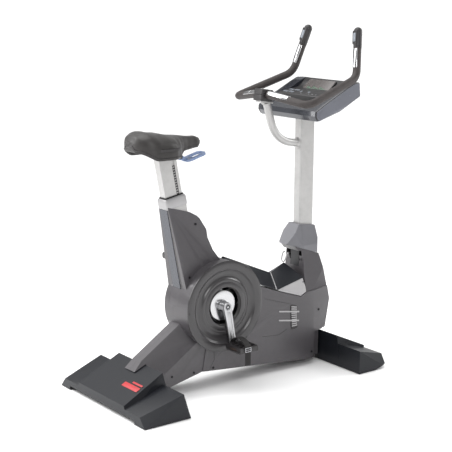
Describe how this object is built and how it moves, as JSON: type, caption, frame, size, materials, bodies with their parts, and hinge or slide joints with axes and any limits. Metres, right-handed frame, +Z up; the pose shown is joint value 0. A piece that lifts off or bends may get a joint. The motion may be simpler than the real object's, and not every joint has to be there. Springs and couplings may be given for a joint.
{
  "type": "upright exercise bike",
  "caption": "Upright exercise bike with a height-adjustable saddle, belt-driven cranks with strap pedals, a rectangular mast, a wrap-round handlebar and a console.",
  "frame": {"origin": "on the floor, under the middle of the bounding box", "axes": "+X forward from the saddle to the console, +Y to the rider's left, +Z up"},
  "size_m": [1.306, 0.65, 1.5169],
  "materials": {
    "frame_black": "powder coat",
    "silver_paint": "satin metallic paint",
    "foot_plastic": "fine-grained, slightly glossy",
    "shell_plastic": "satin moulded",
    "silver_plastic": "silver paint on plastic",
    "mast_cover_plastic": "satin silver-grey",
    "black_plastic": "fine texture",
    "grip_rubber": "soft matte",
    "rubber": "matte",
    "chrome": "polished",
    "alloy": "brushed",
    "steel": "machined",
    "console_gloss": "glossy metallic blue-grey",
    "display": "tinted lens",
    "key_grey": "soft",
    "saddle_skin": "polyurethane skin, grained",
    "lever_blue": "translucent"
  },
  "bodies": {
    "base": {"rear_cross_tube": "frame_black", "front_cross_tube": "frame_black", "base_rail": "frame_black", "seat_tube": "silver_paint", "crank_housing": "frame_black", "flywheel_housing": "frame_black", "mast_socket": "frame_black", "rear_foot_cover": "foot_plastic", "front_foot_cover": "foot_plastic", "levelling_feet": "rubber", "right_shell": "shell_plastic", "left_shell": "shell_plastic", "right_dish_cover": "shell_plastic", "left_dish_cover": "shell_plastic", "top_cover": "foot_plastic", "side_panels": "silver_plastic", "shell_screws": "steel", "mast": "silver_paint", "mast_cover_rear": "mast_cover_plastic", "mast_cover_front": "mast_cover_plastic", "handlebar_stem": "silver_paint", "handlebar_clamp": "black_plastic", "handlebar_tube": "steel", "grip_sleeve": "grip_rubber", "pulse_sensors": "chrome", "right_pod": "black_plastic", "left_pod": "black_plastic", "console_shell": "console_gloss", "console_panel": "black_plastic", "display_lens": "display", "console_bracket": "frame_black", "bearings": "steel", "drive_belt": "rubber", "wheel_axles": "steel"},
    "crankset": {"crank_axle": "steel", "drive_pulley": "alloy", "right_crank": "alloy", "left_crank": "alloy", "crank_discs": "chrome", "crank_bolts": "steel", "pedal_spindles": "steel"},
    "right_pedal_body": {"right_pedal": "black_plastic", "right_strap": "rubber"},
    "left_pedal_body": {"left_pedal": "black_plastic", "left_strap": "rubber"},
    "flywheel_rotor": {"flywheel": "steel", "flywheel_shaft": "steel"},
    "brake": {"brake_arm": "steel"},
    "seat": {"seat_post": "alloy", "height_rack": "black_plastic", "saddle_bracket": "frame_black", "saddle_base": "black_plastic", "saddle_pad": "saddle_skin"},
    "lever": {"seat_lever": "lever_blue"},
    "right_transport_wheel": {"right_wheel": "rubber"},
    "left_transport_wheel": {"left_wheel": "rubber"},
    "right_thumb_rocker": {"right_rocker": "key_grey"},
    "left_thumb_rocker": {"left_rocker": "key_grey"},
    "start_button": {"start_key": "key_grey"},
    "stop_button": {"stop_key": "key_grey"}
  },
  "joints": [
    {"name": "crank_spin", "type": "hinge", "parent": "base", "child": "crankset", "pos_m": [-0.105, 0, 0.363], "axis": [0, 1, 0], "continuous": true},
    {"name": "right_pedal_spin", "type": "hinge", "parent": "crankset", "child": "right_pedal_body", "pos_m": [-0.07053, -0.188, 0.19653], "axis": [0, 1, 0], "continuous": true},
    {"name": "left_pedal_spin", "type": "hinge", "parent": "crankset", "child": "left_pedal_body", "pos_m": [-0.13947, 0.188, 0.52947], "axis": [0, 1, 0], "continuous": true},
    {"name": "flywheel_spin", "type": "hinge", "parent": "base", "child": "flywheel_rotor", "pos_m": [0.195, 0, 0.225], "axis": [0, 1, 0], "continuous": true},
    {"name": "brake_tilt", "type": "hinge", "parent": "base", "child": "brake", "pos_m": [0.283, 0.05, 0.323], "axis": [0, 1, 0], "range_deg": [0, 6]},
    {"name": "seat_height", "type": "slide", "parent": "base", "child": "seat", "axis": [-0.1959, 0, 0.9806], "range_m": [-0.14, 0.06]},
    {"name": "seat_lever_pull", "type": "hinge", "parent": "seat", "child": "lever", "pos_m": [-0.27, 0, 1], "axis": [0, 1, 0], "range_deg": [-8, 0], "stiffness_Nm_per_rad": 2, "springref_deg": 8.59},
    {"name": "right_wheel_spin", "type": "hinge", "parent": "base", "child": "right_transport_wheel", "pos_m": [0.611, -0.25, 0.032], "axis": [0, 1, 0], "continuous": true},
    {"name": "left_wheel_spin", "type": "hinge", "parent": "base", "child": "left_transport_wheel", "pos_m": [0.611, 0.25, 0.032], "axis": [0, 1, 0], "continuous": true},
    {"name": "right_rocker_tilt", "type": "hinge", "parent": "base", "child": "right_thumb_rocker", "pos_m": [0.54173, -0.17037, 1.47462], "axis": [-0.0252, 0.9737, -0.2263], "range_deg": [-4, 4], "stiffness_Nm_per_rad": 0.4},
    {"name": "left_rocker_tilt", "type": "hinge", "parent": "base", "child": "left_thumb_rocker", "pos_m": [0.54173, 0.17037, 1.47462], "axis": [0.0252, 0.9737, 0.2263], "range_deg": [-4, 4], "stiffness_Nm_per_rad": 0.4},
    {"name": "start_press", "type": "slide", "parent": "base", "child": "start_button", "axis": [0.1323, 0, -0.9912], "range_m": [0, 0.002], "stiffness_N_per_m": 300, "springref_m": -0.001},
    {"name": "stop_press", "type": "slide", "parent": "base", "child": "stop_button", "axis": [0.1323, 0, -0.9912], "range_m": [0, 0.002], "stiffness_N_per_m": 300, "springref_m": -0.001}
  ],
  "couplings": [
    {"joint": "flywheel_spin", "follows": "crank_spin", "ratio": 6}
  ]
}
